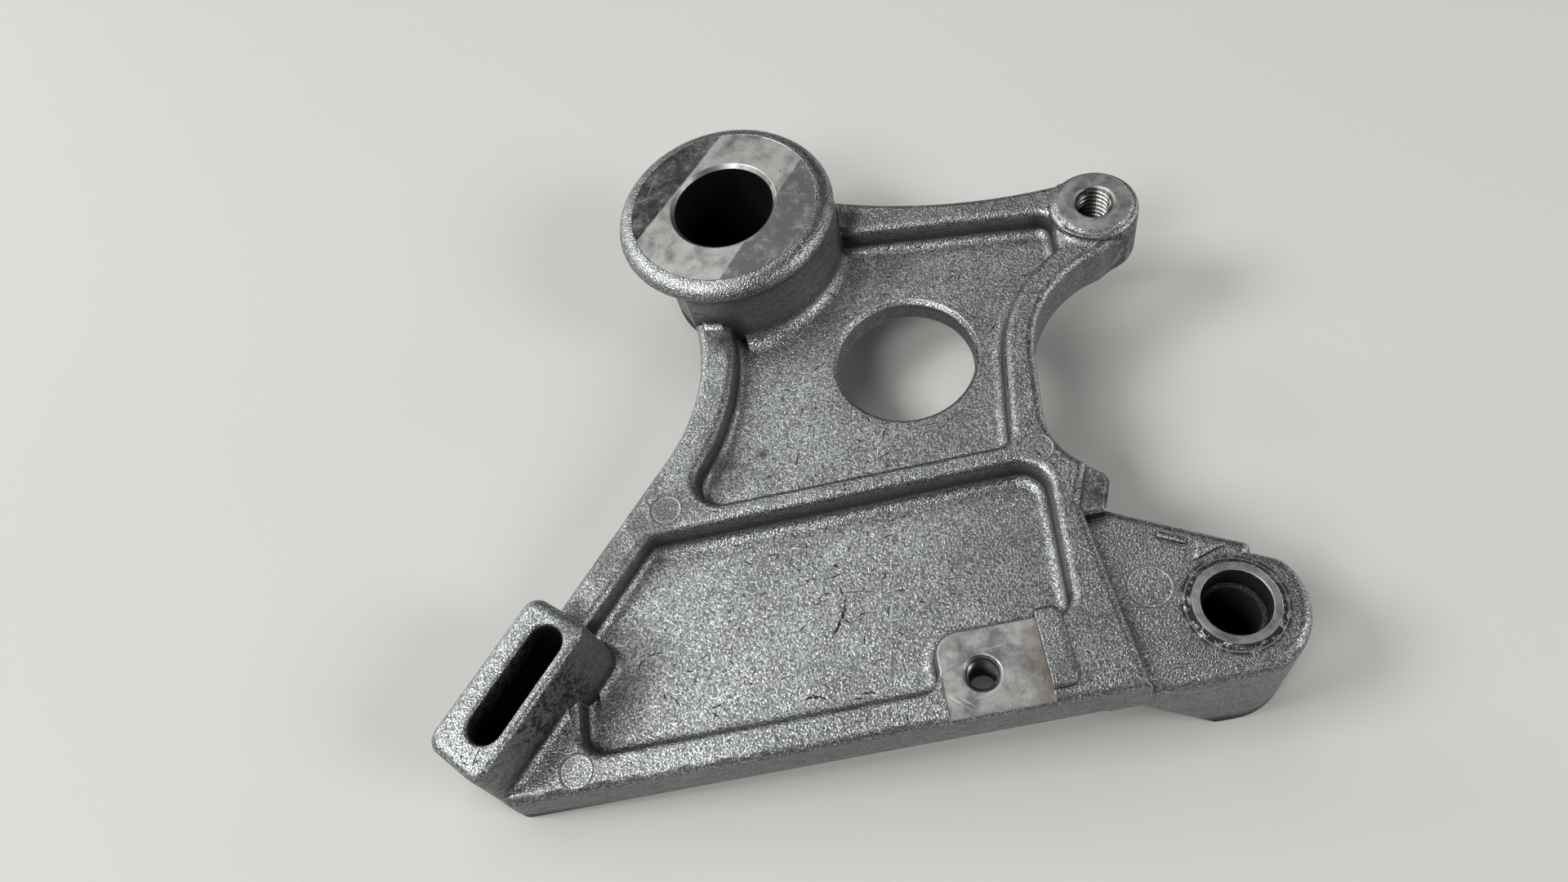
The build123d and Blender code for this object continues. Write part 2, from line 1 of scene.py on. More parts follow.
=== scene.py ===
# %% [markdown]
# # A brake caliper bracket in cast aluminium
# The bracket is one die casting: a ribbed plate with two pockets, a tall axle boss, a slotted
# torque boss and a lobe for the slide pin. The solid comes from the CAD model, which already has
# its rounds, steps and ejector marks, so this lesson doesn't model the casting again. It dresses
# it: a camera and a table, a skin of blasted metal, the faces that a cutter has cleaned, the
# grime, scratches and rust of a part that has been on a motorcycle for years, with painted shade
# in its corners, creases and bores and painted highlights on its edges, and last two small raised
# marks and the threads. Everything is in metres, in the frame of the CAD model: the axle runs
# along Z through the origin.

# %% Load the imported casting
import math
import bmesh
import bpy
from mathutils import Matrix, Vector


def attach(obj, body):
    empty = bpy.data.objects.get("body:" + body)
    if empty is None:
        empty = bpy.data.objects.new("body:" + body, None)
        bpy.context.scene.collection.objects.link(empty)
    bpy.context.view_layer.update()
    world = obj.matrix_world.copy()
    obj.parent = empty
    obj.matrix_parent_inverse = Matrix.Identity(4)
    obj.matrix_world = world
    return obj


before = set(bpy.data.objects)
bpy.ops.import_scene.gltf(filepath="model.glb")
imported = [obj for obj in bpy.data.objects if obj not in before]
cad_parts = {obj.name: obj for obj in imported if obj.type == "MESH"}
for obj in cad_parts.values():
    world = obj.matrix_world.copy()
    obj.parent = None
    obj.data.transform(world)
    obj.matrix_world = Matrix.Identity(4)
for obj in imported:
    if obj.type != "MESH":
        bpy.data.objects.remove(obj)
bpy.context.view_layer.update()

MM = 0.001
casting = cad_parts["bracket_casting"]

# %% [markdown]
# ## The camera
# The photograph was taken from close above, by a phone with a wide lens. Circles on the casting,
# such as the axle bore, show as ellipses, and their shapes and places give the camera's place and
# turn. A wide lens from close by makes the tall axle boss lean and look large, so the distance
# matters as much as the angle. The three unit vectors below are the camera's own axes.

# %% Place the camera
CAMERA_PLACE = Vector((22.35, -173.97, 218.0)) * MM
CAMERA_RIGHT = Vector((0.97586, -0.13582, -0.17107))
CAMERA_UP = Vector((0.20371, 0.84851, 0.48840))
LENS_MM = 26.34

camera = bpy.data.objects.new("camera", bpy.data.cameras.new("camera"))
bpy.context.scene.collection.objects.link(camera)
camera_back = CAMERA_RIGHT.cross(CAMERA_UP).normalized()
camera_up = camera_back.cross(CAMERA_RIGHT).normalized()
camera.matrix_world = Matrix.Translation(CAMERA_PLACE) @ Matrix(
    (CAMERA_RIGHT.normalized(), camera_up, camera_back)
).transposed().to_4x4()
camera.data.lens = LENS_MM
camera.data.sensor_width = 36
camera.data.clip_start = 0.01
camera.data.clip_end = 20
bpy.context.scene.camera = camera
print("the camera is", round(CAMERA_PLACE.z / MM), "mm above the axle boss's foot")

# %% [markdown]
# ## The table
# The bracket doesn't lie flat. It stands on the foot of the axle boss, the pin boss and the front
# left corner of the plate, so the table is the plane through those three points, about 9 degrees
# off the plate. A floor could be turned to that angle, but an object at the origin with its place
# in its mesh is simpler to reason about, so the grid's own points are turned.

# %% Make the table
REST_POINTS = [Vector(p) * MM for p in ((-58, -112, 8.5), (85, -112, -14.2), (0, 16, 0))]
TABLE_REACH = 2.5

def new_object(name, mesh_builder):
    """Links a new object whose mesh the builder has shaped, and clears the builder."""
    mesh = bpy.data.meshes.new(name)
    mesh_builder.to_mesh(mesh)
    mesh_builder.free()
    made = bpy.data.objects.new(name, mesh)
    bpy.context.scene.collection.objects.link(made)
    return made

first, second, third = REST_POINTS
table_normal = (second - first).cross(third - first).normalized()
turn = Vector((0, 0, 1)).rotation_difference(table_normal).to_matrix().to_4x4()
builder = bmesh.new()
bmesh.ops.create_grid(
    builder, x_segments=1, y_segments=1, size=TABLE_REACH,
    matrix=Matrix.Translation((first + second + third) / 3) @ turn,
)
table = new_object("table", builder)
print("the table leans", round(math.degrees(table_normal.angle(Vector((0, 0, 1)))), 1), "degrees")

# %% [markdown]
# ## Wiring materials in code
# A material is a graph of nodes. A few small helpers keep the graph readable: they add a node and
# fill its sockets, do one step of arithmetic, make a noise, and lay one colour over another. Most
# of the work is done with masks, which are values from 0 to 1 that say where something is.

# %% Helpers for nodes and arithmetic
def add(tree, kind, sockets=None, **settings):
    """Adds a shader node. A socket's value is a number, a tuple or another node's output."""
    node = tree.nodes.new("ShaderNode" + kind)
    for name, value in settings.items():
        setattr(node, name, value)
    for name, value in (sockets or {}).items():
        if isinstance(value, bpy.types.NodeSocket):
            tree.links.new(value, node.inputs[name])
        else:
            node.inputs[name].default_value = value
    return node

def calc(tree, operation, *values):
    """One step of arithmetic on numbers or outputs. Returns its output."""
    sockets = dict(enumerate(values))
    return add(tree, "Math", sockets, operation=operation).outputs[0]

def vector_calc(tree, operation, *values):
    """One step of arithmetic on vectors. Returns its output."""
    return add(tree, "VectorMath", dict(enumerate(values)), operation=operation).outputs[0]

def dot(tree, first, second):
    """The dot product of two vectors."""
    sockets = {0: first, 1: second}
    return add(tree, "VectorMath", sockets, operation="DOT_PRODUCT").outputs["Value"]

def split(tree, vector):
    """The X, Y and Z of a vector."""
    return add(tree, "SeparateXYZ", {"Vector": vector}).outputs

def ramp(tree, value, start, end, low=0.0, high=1.0):
    """Carries a value from low to high, smoothly, as it goes from start to end."""
    sockets = {"Value": value, "From Min": start, "From Max": end, "To Min": low, "To Max": high}
    return add(tree, "MapRange", sockets, interpolation_type="SMOOTHSTEP").outputs["Result"]

def noise(tree, place, scale, detail, roughness=0.5):
    """A cloudy value round 0.5. The scale counts its clouds per metre."""
    sockets = {"Vector": place, "Scale": scale, "Detail": detail, "Roughness": roughness}
    return add(tree, "TexNoise", sockets).outputs["Fac"]

def mix_color(tree, factor, under, over):
    """Lays one colour over another where the factor is 1."""
    node = add(tree, "Mix", {0: factor, 6: under, 7: over}, data_type="RGBA")
    return node.outputs[2]

# %% Helpers for masks
def outside(tree, mask):
    """Where a mask is 0."""
    return calc(tree, "SUBTRACT", 1.0, mask)

def faint(tree, mask, strength):
    """A mask at part of its strength."""
    return calc(tree, "MULTIPLY", mask, strength)

def both(tree, *masks):
    """Where every mask is 1."""
    found = masks[0]
    for mask in masks[1:]:
        found = calc(tree, "MULTIPLY", found, mask)
    return found

def either(tree, *masks):
    """Where any mask is 1."""
    found = masks[0]
    for mask in masks[1:]:
        found = calc(tree, "MAXIMUM", found, mask)
    return found

# %% Helpers for groups and materials
def new_group(name, inputs, outputs):
    """Starts a node group. Returns its tree, the outputs of its input node and its end node."""
    tree = bpy.data.node_groups.new(name, "ShaderNodeTree")
    for label, kind in inputs.items():
        tree.interface.new_socket(label, in_out="INPUT", socket_type="NodeSocket" + kind)
    for label, kind in outputs.items():
        tree.interface.new_socket(label, in_out="OUTPUT", socket_type="NodeSocket" + kind)
    return tree, tree.nodes.new("NodeGroupInput").outputs, tree.nodes.new("NodeGroupOutput")

def use_group(tree, group, sockets):
    """Places a group in a material and fills its inputs."""
    node = tree.nodes.new("ShaderNodeGroup")
    node.node_tree = group
    for name, value in sockets.items():
        if isinstance(value, bpy.types.NodeSocket):
            tree.links.new(value, node.inputs[name])
        else:
            node.inputs[name].default_value = value
    return node.outputs

def new_material(name):
    """Starts a material. Returns it, its tree, its Principled node and the object coordinates."""
    material = bpy.data.materials.new(name)
    material.use_nodes = True
    tree = material.node_tree
    place = add(tree, "TexCoord").outputs["Object"]
    return material, tree, tree.nodes["Principled BSDF"], place

# %% [markdown]
# ## The blasted skin
# Die cast aluminium comes out of the mould with a thin dull skin, and steel shot then dimples it
# all over. From close by the surface is a sparkling grain, a bit less than half a millimetre from
# dimple to dimple. Real dimples would need millions of faces, so they are a bump made from a rough
# noise. Dirt stays in the dimples, so the group also gives a tone that follows the same grain, with
# slower patches under it. The lightest spots of that tone are a painted glint on the dimples' rims.

# %% Group: blasted grain
blasted_grain, given, end = new_group(
    "blasted_grain",
    {"Place": "Vector", "Dimples per metre": "Float"},
    {"Height": "Float", "Tone": "Float"},
)
dimples = noise(blasted_grain, given["Place"], given["Dimples per metre"], 1.5, 0.7)
patches = noise(blasted_grain, given["Place"], 70.0, 4.0, 0.7)
blasted_grain.links.new(dimples, end.inputs["Height"])
# The glint is painted: the dimples' rims are made lighter as if they caught the light.
glint = ramp(blasted_grain, dimples, 0.52, 0.70, 0.0, 0.40)
pit = ramp(blasted_grain, dimples, 0.47, 0.32, 0.0, 0.36)
tone = calc(blasted_grain, "MULTIPLY_ADD", patches, 0.32, 0.305)
tone = calc(blasted_grain, "ADD", tone, calc(blasted_grain, "SUBTRACT", glint, pit))
blasted_grain.links.new(tone, end.inputs["Tone"])
print("blasted_grain has", len(blasted_grain.nodes), "nodes")

# %% [markdown]
# ## Short scratches
# Handling leaves short dark nicks like cut hairs, each with its own direction. A Voronoi texture
# gives every cell a centre and a random colour. Measured from its centre, and turned by an angle
# drawn from its colour, each cell gets one thin curved stroke, and a share of them is left empty.

# %% Group: hair scratches
HAIR_WOBBLE = 1.2 * MM
HAIR_BOW = 60.0
hair_scratches, given, end = new_group(
    "hair_scratches",
    {"Place": "Vector", "Cells per metre": "Float", "Length": "Float", "Width": "Float",
     "Share": "Float", "Turn": "Float", "Spread": "Float"},
    {"Mask": "Float"},
)
tree = hair_scratches
flat_place = vector_calc(tree, "MULTIPLY", given["Place"], (1.0, 1.0, 0.0))
wobble = add(tree, "TexNoise", {"Vector": flat_place, "Scale": 300.0, "Detail": 1.0})
wobble = vector_calc(tree, "SUBTRACT", wobble.outputs["Color"], (0.5, 0.5, 0.5))
wobbled = vector_calc(tree, "MULTIPLY_ADD", wobble, (HAIR_WOBBLE, HAIR_WOBBLE, 0.0), flat_place)
cell = add(tree, "TexVoronoi", {"Vector": wobbled, "Scale": given["Cells per metre"]},
           voronoi_dimensions="2D").outputs
draw = add(tree, "SeparateColor", {"Color": cell["Color"]}).outputs
offset = vector_calc(tree, "SUBTRACT", wobbled, cell["Position"])
angle = calc(tree, "MULTIPLY_ADD", calc(tree, "SUBTRACT", draw[0], 0.5), given["Spread"],
             given["Turn"])
turned = add(tree, "VectorRotate", {"Vector": offset, "Angle": angle},
             rotation_type="Z_AXIS").outputs[0]
along, across, _ = split(tree, turned)
half = calc(tree, "MULTIPLY", given["Length"], calc(tree, "MULTIPLY_ADD", draw[1], 0.35, 0.15))
bow = calc(tree, "MULTIPLY", calc(tree, "MULTIPLY", along, along), HAIR_BOW)
off_line = calc(tree, "ABSOLUTE", calc(tree, "ADD", across, bow))
off_end = calc(tree, "ABSOLUTE", along)
taper = calc(tree, "MULTIPLY", given["Width"], outside(tree, calc(tree, "DIVIDE", off_end, half)))
on_line = calc(tree, "LESS_THAN", off_line, taper)
drawn = calc(tree, "LESS_THAN", draw[2], given["Share"])
tree.links.new(both(tree, on_line, drawn), end.inputs["Mask"])
print("hair_scratches has", len(tree.nodes), "nodes")

# %% [markdown]
# ## Single marks
# Some marks on this casting are big enough to know by sight, so they are drawn one by one. A stroke
# lies along its own X axis, bows a little, and thins out to both ends. The material gives every
# stroke the same noise to break its edge, so that the noise is worked out once.

# %% Group: stroke
stroke, given, end = new_group(
    "stroke",
    {"Place": "Vector", "Half length": "Float", "Width": "Float", "Bow": "Float",
     "Noise": "Float"},
    {"Mask": "Float"},
)
x, y, _ = split(stroke, given["Place"])
share = calc(stroke, "DIVIDE", x, given["Half length"])
share = calc(stroke, "MULTIPLY", share, share)
bowed = calc(stroke, "ADD", y, calc(stroke, "MULTIPLY", given["Bow"], outside(stroke, share)))
thick = calc(stroke, "MULTIPLY", given["Width"], outside(stroke, share))
thick = calc(stroke, "MULTIPLY", thick, ramp(stroke, given["Noise"], 0.3, 0.6))
inside = calc(stroke, "DIVIDE", calc(stroke, "SUBTRACT", thick, calc(stroke, "ABSOLUTE", bowed)),
              calc(stroke, "MULTIPLY", given["Width"], 0.5))
stroke.links.new(ramp(stroke, inside, -0.3, 0.5), end.inputs["Mask"])
print("stroke has", len(stroke.nodes), "nodes")

# %% [markdown]
# ## Where the cutter has been
# Machined faces are known by their place: a disc or a round-ended slot in plan, and a thin band
# of height. Two groups measure that from a point's place, and every machined face, bore and stain
# below is one product of the two.

# %% Groups: round area and height band
round_area, given, end = new_group(
    "round_area",
    {"Place": "Vector", "Half length": "Float", "Radius": "Float", "Edge": "Float"},
    {"Mask": "Float", "Distance": "Float"},
)
x, y, _ = split(round_area, given["Place"])
past = calc(round_area, "MAXIMUM",
            calc(round_area, "SUBTRACT", calc(round_area, "ABSOLUTE", x), given["Half length"]),
            0.0)
reach = calc(round_area, "SQRT", calc(round_area, "ADD", calc(round_area, "MULTIPLY", past, past),
                                      calc(round_area, "MULTIPLY", y, y)))
inside = calc(round_area, "DIVIDE", calc(round_area, "SUBTRACT", given["Radius"], reach),
              given["Edge"])
round_area.links.new(ramp(round_area, inside, -0.5, 0.5), end.inputs["Mask"])
round_area.links.new(reach, end.inputs["Distance"])

height_band, given, end = new_group(
    "height_band",
    {"Place": "Vector", "Middle": "Float", "Half depth": "Float", "Edge": "Float"},
    {"Mask": "Float"},
)
z = split(height_band, given["Place"])[2]
away = calc(height_band, "ABSOLUTE", calc(height_band, "SUBTRACT", z, given["Middle"]))
inside = calc(height_band, "DIVIDE", calc(height_band, "SUBTRACT", given["Half depth"], away),
              given["Edge"])
height_band.links.new(ramp(height_band, inside, -0.5, 0.5), end.inputs["Mask"])
print("round_area has", len(round_area.nodes), "nodes, height_band", len(height_band.nodes))

# %% Places of the machined faces, in millimetres
AXLE, PIN, M8, M6 = (0.0, 0.0), (79.1, -104.8), (78.2, -13.9), (32.2, -110.0)
SLOT, SLOT_TURN = (-49.18, -99.84), math.radians(50)
AXLE_FACE_R, AXLE_FACE_Z, AXLE_FACE_DEPTH, AXLE_BORE_R = 20.4, 30.9, 0.95, 11.0
RING_R, RING_Z, RING_DEPTH, PIN_BORE_R = 7.7, 15.5, 0.1, 6.25
SEAT_R, SEAT_Z, SEAT_DEPTH = 7.7, 21.6, 0.45
PAD_LEFT, PAD_RIGHT, PAD_BACK, PAD_Z, PAD_DEPTH = 24.5, 43.6, -101.0, 19.0, 0.12
SLOT_R, SLOT_HALF_LENGTH, SLOT_RIM_Z = 3.6, 8.6, 30.6
TAPPED_M8_R, TAPPED_M6_R = 4.6, 3.6
print("the pin boss is", round(math.dist(AXLE, PIN), 1), "mm from the axle in plan")

# %% Helpers for masks by place
def local(tree, place, centre, turn=0.0):
    """The place measured from a centre in plan, turned so that its X runs along the feature."""
    location = (centre[0] * MM, centre[1] * MM, 0.0)
    return add(tree, "Mapping", {"Vector": place, "Location": location,
                                 "Rotation": (0.0, 0.0, turn)}, vector_type="TEXTURE").outputs[0]

def disc(tree, place, centre, radius, edge=0.15, half_length=0.0, turn=0.0):
    """A mask of a disc or a round-ended slot, in plan."""
    sockets = {"Place": local(tree, place, centre, turn), "Half length": half_length * MM,
               "Radius": radius * MM, "Edge": edge * MM}
    return use_group(tree, round_area, sockets)["Mask"]

def band(tree, place, middle, half_depth, edge=0.1):
    """A mask of a band of height."""
    sockets = {"Place": place, "Middle": middle * MM, "Half depth": half_depth * MM,
               "Edge": edge * MM}
    return use_group(tree, height_band, sockets)["Mask"]

def ring_line(tree, place, centre, radius, half_width):
    """A mask of a thin ring, in plan."""
    distance = use_group(tree, round_area, {"Place": local(tree, place, centre)})["Distance"]
    off = calc(tree, "ABSOLUTE", calc(tree, "SUBTRACT", distance, radius * MM))
    return ramp(tree, off, half_width * MM, half_width * 0.4 * MM)

def mark(tree, place, ragged, start, finish, width, bow=0.0):
    """A mask of one stroke between two places in plan, in millimetres."""
    reach, rise = finish[0] - start[0], finish[1] - start[1]
    middle = ((start[0] + finish[0]) / 2, (start[1] + finish[1]) / 2)
    sockets = {"Place": local(tree, place, middle, math.atan2(rise, reach)), "Bow": bow * MM,
               "Half length": math.hypot(reach, rise) / 2 * MM, "Width": width * MM,
               "Noise": ragged}
    return use_group(tree, stroke, sockets)["Mask"]

print("masks in plan are made by", round_area.name, "and masks of height by", height_band.name)

# %% [markdown]
# ## The cast metal
# One material covers the casting, because the real one is one metal with several finishes. Its
# colour starts as blasted grey, lighter metal goes over it where a cutter has been, and then the
# grime and painted shade go on top: brown-black in the corners, which ambient occlusion finds, and
# on the walls. Grime isn't metal, so the same masks that darken the colour, painted shade among
# them, also lower Metallic and raise Roughness.

# %% Start the casting's material
GRAIN_PER_METRE, GRAIN_DEPTH = 2700.0, 0.19
metal, tree, shader, place = new_material("cast_aluminium_finish")
x, y, z = split(tree, place)
facing = split(tree, add(tree, "NewGeometry").outputs["Normal"])[2]
grain = use_group(tree, blasted_grain, {"Place": place, "Dimples per metre": GRAIN_PER_METRE})
print("the grain has a dimple every", round(1 / (GRAIN_PER_METRE * MM), 2), "mm")

# %% Masks of the machined faces and the bores
axle_face = both(tree, disc(tree, place, AXLE, AXLE_FACE_R + 0.1),
                 band(tree, place, AXLE_FACE_Z, AXLE_FACE_DEPTH))
ring_face = both(tree, disc(tree, place, PIN, RING_R), band(tree, place, RING_Z, RING_DEPTH))
seat_face = both(tree, disc(tree, place, M8, SEAT_R), band(tree, place, SEAT_Z, SEAT_DEPTH))
pad_face = both(tree, band(tree, place, PAD_Z, PAD_DEPTH),
                calc(tree, "GREATER_THAN", x, PAD_LEFT * MM),
                calc(tree, "LESS_THAN", x, PAD_RIGHT * MM),
                calc(tree, "LESS_THAN", y, PAD_BACK * MM))
cut_face = either(tree, axle_face, ring_face, seat_face, pad_face)
axle_bore = both(tree, disc(tree, place, AXLE, AXLE_BORE_R + 0.3),
                 calc(tree, "LESS_THAN", z, (AXLE_FACE_Z - 0.8) * MM))
pin_bore = both(tree, disc(tree, place, PIN, PIN_BORE_R + 0.2),
                calc(tree, "LESS_THAN", z, (RING_Z - 0.2) * MM))
slot_hole = both(tree, disc(tree, place, SLOT, SLOT_R, 0.3, SLOT_HALF_LENGTH, SLOT_TURN),
                 ramp(tree, z, SLOT_RIM_Z * MM, (SLOT_RIM_Z - 1.0) * MM))
tapped = either(tree, disc(tree, place, M8, TAPPED_M8_R), disc(tree, place, M6, TAPPED_M6_R))
machined = either(tree, cut_face, tapped)
# The bores are painted black: partly oil, partly painted shade deep inside, most of all in the
# slot.
bores_oil_and_shade = either(tree, axle_bore, faint(tree, pin_bore, 0.85), faint(tree, slot_hole, 0.8))
print("the masks have taken", len(tree.nodes), "nodes")

# %% Colours, walls and the cast skin
CALM_TONE = 0.5
CAST_DARK = (0.155, 0.162, 0.162, 1)
CAST_LIGHT = (0.62, 0.64, 0.64, 1)
CUT_DARK = (0.155, 0.16, 0.152, 1)
CUT_LIGHT = (0.475, 0.485, 0.462, 1)
BARE_AND_HIGHLIGHT = (0.75, 0.76, 0.76, 1)
GRIME_AND_SHADE = (0.018, 0.016, 0.013, 1)
OIL_AND_SHADE_BLACK = (0.005, 0.006, 0.006, 1)
RUST = (0.16, 0.07, 0.025, 1)
TEA = (0.24, 0.19, 0.14, 1)

# The steep walls are grimy, and painted shade where they are closed in, and on the steepest the
# grain is calm.
wall = ramp(tree, facing, 0.7, 0.2)
calm = ramp(tree, facing, 0.35, 0.1, 0.0, 0.7)
tone = add(tree, "Mix", {0: calm, 2: grain["Tone"], 3: CALM_TONE}).outputs[0]
skin = mix_color(tree, ramp(tree, tone, 0.30, 0.72), CAST_DARK, CAST_LIGHT)

# %% [markdown]
# ## Worn fans on the axle face
# A spacer has rubbed the axle face, and has left three fields with straight borders: dark at the
# left, bright in a band across the middle, and grey at the right. Each border is a straight line
# in plan, and a point's side of it is the dot product of its place with the line's normal.

# %% Fields of the axle face
FAN_BORDERS = (((1.0, 19.5), (-0.758, 0.652)), ((19.1, 8.6), (0.794, -0.609)))

def beyond(tree, place, point, normal, edge=0.5):
    """A mask of one side of a straight border in plan, in millimetres."""
    measured = dot(tree, place, (normal[0] / MM, normal[1] / MM, 0.0))
    at = point[0] * normal[0] + point[1] * normal[1]
    return ramp(tree, measured, at - edge / 2, at + edge / 2)

left_fan, right_fan = (beyond(tree, place, *border) for border in FAN_BORDERS)
smear = noise(tree, place, 190.0, 4.0, 0.7)
stain = noise(tree, place, 330.0, 4.0, 0.75)
left_tone = both(tree, left_fan, ramp(tree, stain, 0.36, 0.62, 0.38, 0.20))
fan_dirt = calc(tree, "MULTIPLY_ADD", smear, 0.65, calc(tree, "MULTIPLY", stain, 0.35))
fan_stains = both(tree, axle_face, left_fan, ramp(tree, fan_dirt, 0.61, 0.45, 0.2, 0.95))
right_tone = both(tree, right_fan, ramp(tree, stain, 0.36, 0.62, 0.30, 0.16))
fan_tone = calc(tree, "SUBTRACT", calc(tree, "ADD", smear, 0.09),
                either(tree, left_tone, right_tone))
flat_tone = calc(tree, "ADD", smear, 0.01)
worn = add(tree, "Mix", {0: axle_face, 2: flat_tone, 3: fan_tone}).outputs[0]
cut = mix_color(tree, ramp(tree, worn, 0.28, 0.72), CUT_DARK, CUT_LIGHT)
colour = mix_color(tree, machined, skin, cut)
print("the axle face has", len(FAN_BORDERS) + 1, "fields")

# %% [markdown]
# ## Grime and painted shade in the corners and on the walls
# Old brake dust and oil sit in the corners where a cloth doesn't reach, and the corners are also
# given painted shade. The Ambient Occlusion node says how closed in a point is. The Bevel node
# rounds the normal near a sharp edge, so wherever the two normals part there is an edge: a closed
# one is a crease and holds a dark line of grime and painted shade, an open one is painted brighter,
# partly rubbed bare and partly a painted highlight. The steep walls are duller than the top faces,
# and carry scratches along them.

# %% Corners, creases and edges
SHELTER_REACH, EDGE_ROUND = 5.0, 0.4
shelter = add(tree, "AmbientOcclusion", {"Distance": SHELTER_REACH * MM}, samples=5).outputs["AO"]
blotch = noise(tree, place, 500.0, 3.0, 0.7)
cloud = noise(tree, place, 45.0, 3.0)
closed = outside(tree, shelter)
corner = calc(tree, "ADD", closed, calc(tree, "MULTIPLY_ADD", blotch, 0.6, -0.3))
corner = calc(tree, "ADD", corner, calc(tree, "MULTIPLY_ADD", cloud, 0.4, -0.2))
# Painted shade: closed-in corners are darkened together with the grime.
corner_grime_and_shade = ramp(tree, corner, 0.36, 0.9)

soft_edges = add(tree, "Bevel", {"Radius": EDGE_ROUND * MM}, samples=4).outputs[0]
plain = add(tree, "NewGeometry").outputs["Normal"]
edge = ramp(tree, dot(tree, soft_edges, plain), 0.985, 0.90)
# A crease holds a dark line of grime and painted shade.
crease_grime_and_shade = both(tree, edge, ramp(tree, shelter, 0.72, 0.5), ramp(tree, blotch, 0.34, 0.5))
# An open edge is painted brighter: partly worn bare, partly a painted highlight.
rubbed_and_highlit = both(tree, edge, ramp(tree, shelter, 0.62, 0.8),
              ramp(tree, blotch, 0.36, 0.56, 0.25, 1.0))
print("corners are looked for within", SHELTER_REACH, "mm and edges within", EDGE_ROUND, "mm")

# %% [markdown]
# The walls carry a thin film of grime, painted shade where they are closed in, flecks, mottles by
# the two dirtiest bosses, and scratches that run along them. The scratches are drawn in a plane
# whose X runs round the casting and whose Y is its height.

# %% Grime and painted shade on the walls
ragged = noise(tree, place, 1400.0, 2.0)
along = calc(tree, "MULTIPLY_ADD", y, 0.6, x)
on_wall = add(tree, "CombineXYZ", {0: along, 1: calc(tree, "MULTIPLY", z, 2.2)}).outputs[0]
wall_lines = use_group(tree, hair_scratches, {
    "Place": on_wall, "Cells per metre": 260.0, "Length": 8.0 * MM, "Width": 0.28 * MM,
    "Share": 0.65, "Turn": 0.0, "Spread": 0.5})["Mask"]
# The film darkens every wall a little with grime, and closed-in walls further as painted shade.
film_and_shade = calc(tree, "ADD", ramp(tree, blotch, 0.36, 0.64, 0.42, 0.54),
            ramp(tree, closed, 0.03, 0.22, 0.0, 0.75))
flecks = ramp(tree, ragged, 0.58, 0.68, 0.0, 0.75)
dirty_walls = either(tree, disc(tree, place, SLOT, 12.0, 8.0), disc(tree, place, M8, 11.0, 6.0))
mottles = both(tree, dirty_walls, ramp(tree, blotch, 0.40, 0.54, 0.5, 1.0),
               ramp(tree, ragged, 0.38, 0.50, 0.4, 1.0))
wall_grime_and_shade = both(tree, wall, either(tree, film_and_shade, flecks, mottles, faint(tree, wall_lines, 0.85)))
print("the material now has", len(tree.nodes), "nodes")

# %% [markdown]
# ## Nicks, stains and the nub's painted shade
# The nicks are dark because dirt has filled them. Fine ones are strewn by the scratch group. The
# larger ones are drawn one by one, each from one place to another in plan, and so are the dirty
# patches that years of road grime have left beside the bosses, and one patch of painted shade on
# the nub of the arm.

# %% The strokes: from, to, width and bow, in millimetres
STROKES = (
    ((9.6, -85.5), (10.5, -88.9), 0.22, 0.2),
    ((10.6, -88.1), (6.4, -96.3), 0.42, -0.7),
    ((5.3, -87.5), (8.5, -87.3), 0.13, -0.2),
    ((10.4, -87.7), (14.5, -88.1), 0.13, 0.1),
    ((8.5, -84.2), (10.6, -83.6), 0.2, 0.0),
    ((9.1, -81.6), (10.2, -82.1), 0.3, 0.0),
    ((12.9, -102.1), (16.2, -102.1), 0.15, 0.1),
    ((-4.9, -103.1), (-1.5, -102.0), 0.13, -0.5),
    ((10.2, -107.9), (13.2, -108.5), 0.3, -0.3),
    ((-0.8, -107.2), (4.1, -108.0), 0.4, -0.8),
    ((23.7, -91.9), (25.5, -92.9), 0.2, 0.2),
    ((28.0, -93.3), (29.5, -94.3), 0.3, 0.1),
    ((-30.9, -95.5), (-29.6, -93.0), 0.2, -0.4),
    ((-29.6, -93.0), (-25.0, -92.7), 0.18, -0.3),
    ((-26.0, -100.9), (-23.4, -105.3), 0.15, -0.7),
    ((-17.9, -105.3), (-15.5, -104.5), 0.25, 0.2),
    ((-0.3, -107.1), (2.2, -105.7), 0.15, 0.2),
    ((27.7, -24.9), (31.0, -28.7), 0.15, 0.3),
    ((10.5, -49.6), (9.0, -55.0), 0.17, 0.1),
    ((6.4, -54.8), (5.1, -58.6), 0.18, 0.1),
    ((4.4, -51.9), (3.9, -54.2), 0.15, 0.0),
    ((18.0, -54.6), (19.4, -56.0), 0.28, 0.0),
    ((20.7, -61.1), (27.1, -59.5), 0.13, -0.6),
    ((14.1, -69.1), (15.1, -68.9), 0.45, 0.0),
)
print(len(STROKES), "nicks are drawn one by one")

